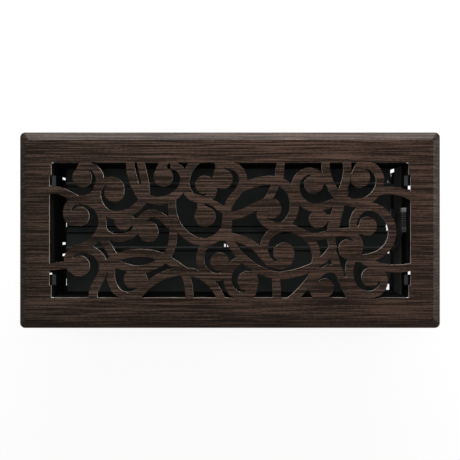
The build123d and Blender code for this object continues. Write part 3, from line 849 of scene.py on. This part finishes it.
def makeGrip():
    # An upside-down U carried along Y.  Its top sinks by grooveDepth times the squared sine of half a
    # turn per rib pitch, and at both ends the outline draws in on a quarter round.
    low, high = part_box("thumb_grip")
    linkLow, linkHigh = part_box("control_link")
    r = grip["cornerRadius"]
    middle = (low.x + high.x) / 2
    arc = np.linspace(0, np.pi / 2, grip["cornerSteps"] + 1)
    leftX, leftZ = low.x + r * (1 - np.cos(arc)), high.z - r * (1 - np.sin(arc))
    seam = grip["seamWidth"] / 2
    slot = (linkLow.x - grip["slotGap"], linkHigh.x + grip["slotGap"])
    x = np.concatenate([[low.x], leftX, [middle - seam, middle, middle + seam], (2 * middle - leftX)[::-1],
                        [high.x, slot[1], slot[1], slot[0], slot[0]]])
    dip = high.z - grip["seamDepth"]
    z = np.concatenate([[low.z], leftZ, [high.z, dip, high.z], leftZ[::-1],
                        [low.z, low.z, linkHigh.z, linkHigh.z, low.z]])
    upper = (z > high.z - grip["topRadii"] * r) & (z > linkHigh.z)
    outside = np.where(x < middle - seam, 1.0, np.where(x > middle + seam, -1.0, 0.0))
    outside[-4:] = 0.0  # the slot's own points stay
    ribbed = grip["grooves"] * grip["ribPitch"]
    start = (low.y + high.y - ribbed) / 2
    ribY = start + np.linspace(0, ribbed, grip["grooves"] * grip["pitchSteps"] + 1)
    y = np.concatenate([low.y + r * (1 - np.cos(arc)), ribY, high.y - r * (1 - np.cos(arc[::-1]))])
    inEnd = np.minimum(y - low.y, high.y - y)
    drawn = np.where(inEnd < r, r - np.sqrt(np.maximum(r**2 - (r - inEnd) ** 2, 0)), 0.0)
    turns = np.clip((y - start) / grip["ribPitch"], 0, grip["grooves"])
    groove = grip["grooveDepth"] * np.sin(np.pi * turns) ** 2
    points = np.empty((len(y), len(x), 3))
    points[:, :, 0] = x[None, :] + drawn[:, None] * outside[None, :]
    points[:, :, 1] = y[:, None]
    points[:, :, 2] = z[None, :] - (drawn + groove)[:, None] * upper[None, :]
    index = np.arange(points.shape[0] * points.shape[1]).reshape(points.shape[:2])
    onward = np.roll(index, -1, axis=1)
    quads = np.stack([index[:-1], onward[:-1], onward[1:], index[1:]], axis=2).reshape(-1, 4)
    caps = [index[0, ::-1].tolist(), index[-1].tolist()]
    mesh = bpy.data.meshes.new("ribbedGrip")
    mesh.from_pydata(points.reshape(-1, 3).tolist(), [], quads.tolist() + caps)
    mesh.materials.append(finishes["grip"])
    mesh.materials.append(finishes["gripEnd"])
    # lighter finish: the round at the low end, all that lies past the last groove, and both caps
    lighterEnds = (y[1:] < ribY[0]) | (y[:-1] > ribY[-1] - samePlace)
    kind = np.concatenate([np.repeat(lighterEnds, len(x)), [True, True]]).astype(np.int32)
    mesh.polygons.foreach_set("material_index", kind)
    mesh.update()
    piece = bpy.data.objects.new("ribbedGrip", mesh)
    scene.collection.objects.link(piece)
    mesh.shade_smooth()
    mesh.set_sharp_from_angle(angle=np.radians(grip["sharpAngle"]))
    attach(piece, "damper_lever")
    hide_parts("thumb_grip")
    print("stage: grip made,", grip["grooves"], "grooves")


makeGrip()


# The other CAD nodes keep their form: edges are broken a little and each gets its finish
dressedParts = {
    "rear_side_wall": "box",
    "front_side_wall": "box",
    "left_end_wall": "box",
    "right_end_wall": "leverWall",
    "rear_blade": "blade",
    "front_blade": "blade",
    "rear_axle_rod": "rod",
    "front_axle_rod": "rod",
    "rear_crank_pin": "rod",
    "front_crank_pin": "rod",
    "control_link": "lever",
}
brokenEdge = {
    "width": {"box": 0.00016, "leverWall": 0.00016, "blade": 0.00012, "rod": 0.00018, "lever": 0.00016},
    "segments": 2,
    "angle": 40.0,
}


def dressNode(name, finish):
    # the node's finish, its loose triangles joined, and every edge sharper than the angle rounded
    piece = nodes[name]
    piece.data.materials.clear()
    piece.data.materials.append(finishes[finish])
    weld = piece.modifiers.new("joinedFaces", "WELD")
    weld.merge_threshold = samePlace
    bevel = piece.modifiers.new("brokenEdges", "BEVEL")
    bevel.width = brokenEdge["width"][finish]
    bevel.segments = brokenEdge["segments"]
    bevel.limit_method = "ANGLE"
    bevel.angle_limit = np.radians(brokenEdge["angle"])
    bevel.use_clamp_overlap = True
    bevel.harden_normals = True


for name, finish in dressedParts.items():
    dressNode(name, finish)
print("stage: nodes dressed,", len(dressedParts))


# Floor, light and camera
studio = {
    "floorSize": 8.0,
    "floorPoints": 9,
    "floorColour": (0.82, 0.82, 0.82, 1.0),
    "floorGlow": 1.10,
    "floorShadow": 0.18,
    "worldLight": 0.20,
    "keyPlace": (0.03, 0.44, 0.205),
    "keySize": (0.7, 0.16),
    "keyPower": 4.7,
    "sidePlace": (1.10, 0.05, 0.28),
    "sideSize": (0.5, 0.30),
    "sidePower": 2.1,
    "overheadPlace": (0.0, 0.16, 1.05),
    "overheadSize": (0.5, 0.4),
    "overheadPower": 2.3,
    "cameraHeight": 0.505,
    "viewWidth": 0.31998,
    "viewShift": 0.000125,
    "sensor": 36.0,
    "clipStart": 0.01,
}
white = (1.0, 1.0, 1.0, 1.0)


def backgroundRays(tree):
    # one where a ray comes from the camera, a reflection or glass
    rays = addNode(tree, "ShaderNodeLightPath").outputs
    seen = combined(tree, "MAXIMUM", rays["Is Camera Ray"], rays["Is Glossy Ray"])
    return combined(tree, "MAXIMUM", seen, rays["Is Transmission Ray"])


def mixedShader(tree, share, first, second):
    # the first shader where the share is zero, and the second where it is one
    node = addNode(tree, "ShaderNodeMixShader")
    feed(tree, node.inputs["Fac"], share)
    tree.links.new(first, node.inputs[1])
    tree.links.new(second, node.inputs[2])
    return node.outputs[0]


def makeFloor():
    # A flat grid under the part.  Background rays see a glow with a share of the lit floor, which keeps
    # the part's shadow; all other rays see the plain lit floor.
    half = studio["floorSize"] / 2
    side = np.linspace(-half, half, studio["floorPoints"])
    x, y = np.meshgrid(side, side, indexing="ij")
    points = np.stack([x.ravel(), y.ravel(), np.full(x.size, cadLow.z)], axis=1)
    index = np.arange(x.size).reshape(x.shape)
    corners = [index[:-1, :-1], index[1:, :-1], index[1:, 1:], index[:-1, 1:]]
    mesh = bpy.data.meshes.new("studioFloor")
    mesh.from_pydata(points.tolist(), [], np.stack(corners, axis=2).reshape(-1, 4).tolist())
    floor = bpy.data.objects.new("studioFloor", mesh)
    scene.collection.objects.link(floor)
    material, tree = newMaterial("paleFloor")
    matt = addNode(tree, "ShaderNodeBsdfDiffuse")
    setSockets(matt, Color=studio["floorColour"])
    glow = addNode(tree, "ShaderNodeEmission")
    setSockets(glow, Strength=studio["floorGlow"])
    lit = mixedShader(tree, studio["floorShadow"], glow.outputs[0], matt.outputs[0])
    seen = mixedShader(tree, backgroundRays(tree), matt.outputs[0], lit)
    output = addNode(tree, "ShaderNodeOutputMaterial")
    tree.links.new(seen, output.inputs["Surface"])
    mesh.materials.append(material)


def makeWorld():
    # background rays see white, and the part gets a soft light
    world = bpy.data.worlds.new("studioWorld")
    scene.world = world
    world.use_nodes = True
    tree = world.node_tree
    tree.nodes.clear()
    soft = addNode(tree, "ShaderNodeBackground")
    setSockets(soft, Color=white, Strength=studio["worldLight"])
    backdrop = addNode(tree, "ShaderNodeBackground")
    setSockets(backdrop, Color=white)
    seen = mixedShader(tree, backgroundRays(tree), soft.outputs[0], backdrop.outputs[0])
    output = addNode(tree, "ShaderNodeOutputWorld")
    tree.links.new(seen, output.inputs["Surface"])


def addSoftbox(name, place, size, power):
    # a rectangle of light aimed at the middle of the face
    light = bpy.data.lights.new(name, "AREA")
    light.shape = "RECTANGLE"
    light.size, light.size_y = size
    light.energy = power
    box = bpy.data.objects.new(name, light)
    box.location = place
    aim = Vector((0.0, 0.0, cadHigh.z)) - Vector(place)
    box.rotation_euler = aim.to_track_quat("-Z", "Y").to_euler()
    box.visible_camera = False
    scene.collection.objects.link(box)
    return box


def makeCamera():
    # straight above the face, with the lens that spans viewWidth at the face
    data = bpy.data.cameras.new("aboveCamera")
    data.sensor_width = studio["sensor"]
    data.lens = studio["sensor"] * studio["cameraHeight"] / studio["viewWidth"]
    data.clip_start = studio["clipStart"]
    camera = bpy.data.objects.new("aboveCamera", data)
    camera.location = (0.0, studio["viewShift"], cadHigh.z + studio["cameraHeight"])
    scene.collection.objects.link(camera)
    scene.camera = camera


makeFloor()
makeWorld()
softboxes = {}
for name in ("key", "side", "overhead"):
    place, size, power = (studio[name + part] for part in ("Place", "Size", "Power"))
    softboxes[name] = addSoftbox(name + "Softbox", place, size, power)
softboxes["overhead"].visible_glossy = False
makeCamera()
scene.view_settings.view_transform = "Standard"
print("stage: floor, light and camera set")
